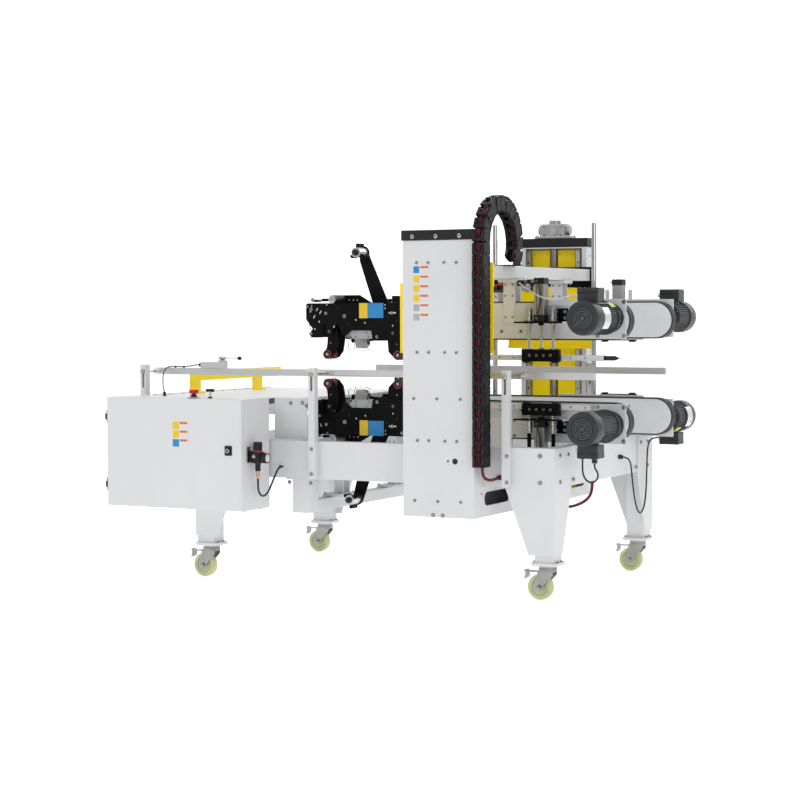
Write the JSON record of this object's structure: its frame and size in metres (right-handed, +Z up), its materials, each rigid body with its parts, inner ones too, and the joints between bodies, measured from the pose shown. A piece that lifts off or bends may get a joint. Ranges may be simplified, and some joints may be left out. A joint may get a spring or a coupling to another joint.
{
  "type": "carton_sealer",
  "caption": "Carton edge sealing machine: belt pairs above and below, tape heads, two lift towers with a gantry, infeed table and control box on casters.",
  "frame": {"origin": "middle of the overall box on the floor", "axes": "+X is the way cartons travel, +Z is up, the operator's side and control box are at -Y"},
  "size_m": [2.1739, 1.384, 1.5845],
  "materials": {
    "white_paint": "semi-gloss powder coat",
    "yellow_paint": "semi-gloss powder coat",
    "black_paint": "black oxide and satin paint",
    "motor_paint": "dark grey casting paint",
    "black_plastic": "matte",
    "red_plastic": "gloss",
    "bright_steel": "drawn",
    "cast_alloy": "cast and machined",
    "zinc": "zinc plated",
    "wheel_nylon": "moulded",
    "belt_rubber": "fabric-backed rubber",
    "black_cable": "matte",
    "white_cable": "matte",
    "red_cable": "matte"
  },
  "bodies": {
    "root": {"main_frame": "white_paint", "frame_legs": "white_paint", "bottom_cross_beams": "white_paint", "tower_housings": "white_paint", "tower_caps": "black_plastic", "tower_guard_strips": "yellow_paint", "tower_rails": "bright_steel", "lift_gearbox": "cast_alloy", "infeed_table": "white_paint", "yellow_gate": "yellow_paint", "control_box": "white_paint", "air_regulator": "black_plastic", "guide_posts": "white_paint", "cable_chain_fixed": "black_plastic", "regulator_hose": "black_cable", "chain_cable": "red_cable", "wire_bundle": "red_cable", "lower_far_motor_cable": "black_cable", "limit_switch_cable": "black_cable"},
    "box_door": {"control_box_door": "white_paint"},
    "stop_button": {"emergency_stop_button": "red_plastic"},
    "near_rail": {"guide_rail_near": "bright_steel"},
    "far_rail": {"guide_rail_far": "bright_steel"},
    "lift": {"gantry_beams": "white_paint", "lift_carriages": "yellow_paint", "cable_chain_loop": "black_plastic"},
    "upper_near": {"upper_near_conveyor_frame": "white_paint", "upper_near_belt": "belt_rubber", "upper_near_motor": "motor_paint", "upper_near_tape_head": "black_paint", "upper_near_motor_cable": "white_cable"},
    "upper_far": {"upper_far_conveyor_frame": "white_paint", "upper_far_belt": "belt_rubber", "upper_far_motor": "motor_paint", "upper_far_tape_head": "black_paint"},
    "lower_near": {"lower_near_conveyor_frame": "white_paint", "lower_near_belt": "belt_rubber", "lower_near_motor": "motor_paint", "lower_near_tape_head": "black_paint", "lower_near_motor_cable": "black_cable"},
    "lower_far": {"lower_far_conveyor_frame": "white_paint", "lower_far_belt": "belt_rubber", "lower_far_motor": "motor_paint", "lower_far_tape_head": "black_paint"},
    "upper_presser": {"upper_near_presser_block": "black_paint"},
    "lower_presser": {"lower_near_presser_block": "black_paint"},
    "upper_front_arm": {"upper_near_front_arm": "black_paint"},
    "upper_rear_arm": {"upper_near_rear_arm": "black_paint"},
    "lower_front_arm": {"lower_near_front_arm": "black_paint"},
    "lower_rear_arm": {"lower_near_rear_arm": "black_paint"},
    "upper_hub": {"upper_near_reel_hub": "cast_alloy"},
    "lower_hub": {"lower_near_reel_hub": "cast_alloy"},
    "fork_near_left": {"caster_near_left_fork": "zinc"},
    "wheel_near_left": {"caster_near_left_wheel": "wheel_nylon"},
    "fork_near_right": {"caster_near_right_fork": "zinc"},
    "wheel_near_right": {"caster_near_right_wheel": "wheel_nylon"},
    "fork_far_left": {"caster_far_left_fork": "zinc"},
    "wheel_far_left": {"caster_far_left_wheel": "wheel_nylon"},
    "fork_far_right": {"caster_far_right_fork": "zinc"},
    "wheel_far_right": {"caster_far_right_wheel": "wheel_nylon"}
  },
  "joints": [
    {"name": "lift", "type": "slide", "parent": "root", "child": "lift", "axis": [0, 0, 1], "range_m": [-0.05, 0.09], "deforming": ["cable_chain_loop"]},
    {"name": "width_upper_near", "type": "slide", "parent": "lift", "child": "upper_near", "axis": [0, 1, 0], "range_m": [0, 0.12]},
    {"name": "width_upper_far", "type": "slide", "parent": "lift", "child": "upper_far", "axis": [0, -1, 0], "range_m": [0, 0.12]},
    {"name": "width_lower_near", "type": "slide", "parent": "root", "child": "lower_near", "axis": [0, 1, 0], "range_m": [0, 0.12]},
    {"name": "width_lower_far", "type": "slide", "parent": "root", "child": "lower_far", "axis": [0, -1, 0], "range_m": [0, 0.12]},
    {"name": "presser_upper", "type": "slide", "parent": "upper_near", "child": "upper_presser", "axis": [0, 0, 1], "range_m": [0, 0.06]},
    {"name": "presser_lower", "type": "slide", "parent": "lower_near", "child": "lower_presser", "axis": [0, 0, 1], "range_m": [0, 0.04]},
    {"name": "front_arm_upper", "type": "hinge", "parent": "upper_near", "child": "upper_front_arm", "pos_m": [-0.218, -0.242, 1.046], "axis": [0, -1, 0], "range_deg": [0, 40], "stiffness_Nm_per_rad": 15, "springref_deg": -22.92},
    {"name": "rear_arm_upper", "type": "hinge", "parent": "upper_near", "child": "upper_rear_arm", "pos_m": [0.084, -0.242, 1.04], "axis": [0, -1, 0], "range_deg": [0, 40]},
    {"name": "front_arm_lower", "type": "hinge", "parent": "lower_near", "child": "lower_front_arm", "pos_m": [-0.218, -0.242, 0.732], "axis": [0, 1, 0], "range_deg": [0, 40], "stiffness_Nm_per_rad": 15, "springref_deg": -22.92},
    {"name": "rear_arm_lower", "type": "hinge", "parent": "lower_near", "child": "lower_rear_arm", "pos_m": [0.084, -0.242, 0.738], "axis": [0, 1, 0], "range_deg": [0, 40]},
    {"name": "hub_upper", "type": "hinge", "parent": "upper_near", "child": "upper_hub", "pos_m": [-0.091, -0.244, 1.374], "axis": [0, 1, 0], "continuous": true},
    {"name": "hub_lower", "type": "hinge", "parent": "lower_near", "child": "lower_hub", "pos_m": [-0.128, -0.244, 0.341], "axis": [0, 1, 0], "continuous": true},
    {"name": "rail_near", "type": "slide", "parent": "root", "child": "near_rail", "axis": [0, 0, 1], "range_m": [-0.06, 0]},
    {"name": "rail_far", "type": "slide", "parent": "root", "child": "far_rail", "axis": [0, 0, 1], "range_m": [-0.06, 0]},
    {"name": "door", "type": "hinge", "parent": "root", "child": "box_door", "pos_m": [-1.08, -0.666, 0.5475], "axis": [0, 0, -1], "range_deg": [0, 110]},
    {"name": "stop_press", "type": "slide", "parent": "root", "child": "stop_button", "axis": [0, 0, -1], "range_m": [0, 0.006], "stiffness_N_per_m": 900, "springref_m": -0.004},
    {"name": "swivel_near_left", "type": "hinge", "parent": "root", "child": "fork_near_left", "pos_m": [-0.732, -0.41, 0.13], "axis": [0, 0, 1], "continuous": true},
    {"name": "roll_near_left", "type": "hinge", "parent": "fork_near_left", "child": "wheel_near_left", "pos_m": [-0.762, -0.41, 0.05], "axis": [0, 1, 0], "continuous": true},
    {"name": "swivel_near_right", "type": "hinge", "parent": "root", "child": "fork_near_right", "pos_m": [0.832, -0.41, 0.13], "axis": [0, 0, 1], "continuous": true},
    {"name": "roll_near_right", "type": "hinge", "parent": "fork_near_right", "child": "wheel_near_right", "pos_m": [0.802, -0.41, 0.05], "axis": [0, 1, 0], "continuous": true},
    {"name": "swivel_far_left", "type": "hinge", "parent": "root", "child": "fork_far_left", "pos_m": [-0.732, 0.562, 0.13], "axis": [0, 0, 1], "continuous": true},
    {"name": "roll_far_left", "type": "hinge", "parent": "fork_far_left", "child": "wheel_far_left", "pos_m": [-0.762, 0.562, 0.05], "axis": [0, 1, 0], "continuous": true},
    {"name": "swivel_far_right", "type": "hinge", "parent": "root", "child": "fork_far_right", "pos_m": [0.832, 0.562, 0.13], "axis": [0, 0, 1], "continuous": true},
    {"name": "roll_far_right", "type": "hinge", "parent": "fork_far_right", "child": "wheel_far_right", "pos_m": [0.802, 0.562, 0.05], "axis": [0, 1, 0], "continuous": true}
  ],
  "couplings": [
    {"joint": "width_upper_far", "follows": "width_upper_near", "ratio": 1},
    {"joint": "width_lower_far", "follows": "width_lower_near", "ratio": 1},
    {"joint": "rear_arm_upper", "follows": "front_arm_upper", "ratio": 1},
    {"joint": "rear_arm_lower", "follows": "front_arm_lower", "ratio": 1}
  ]
}
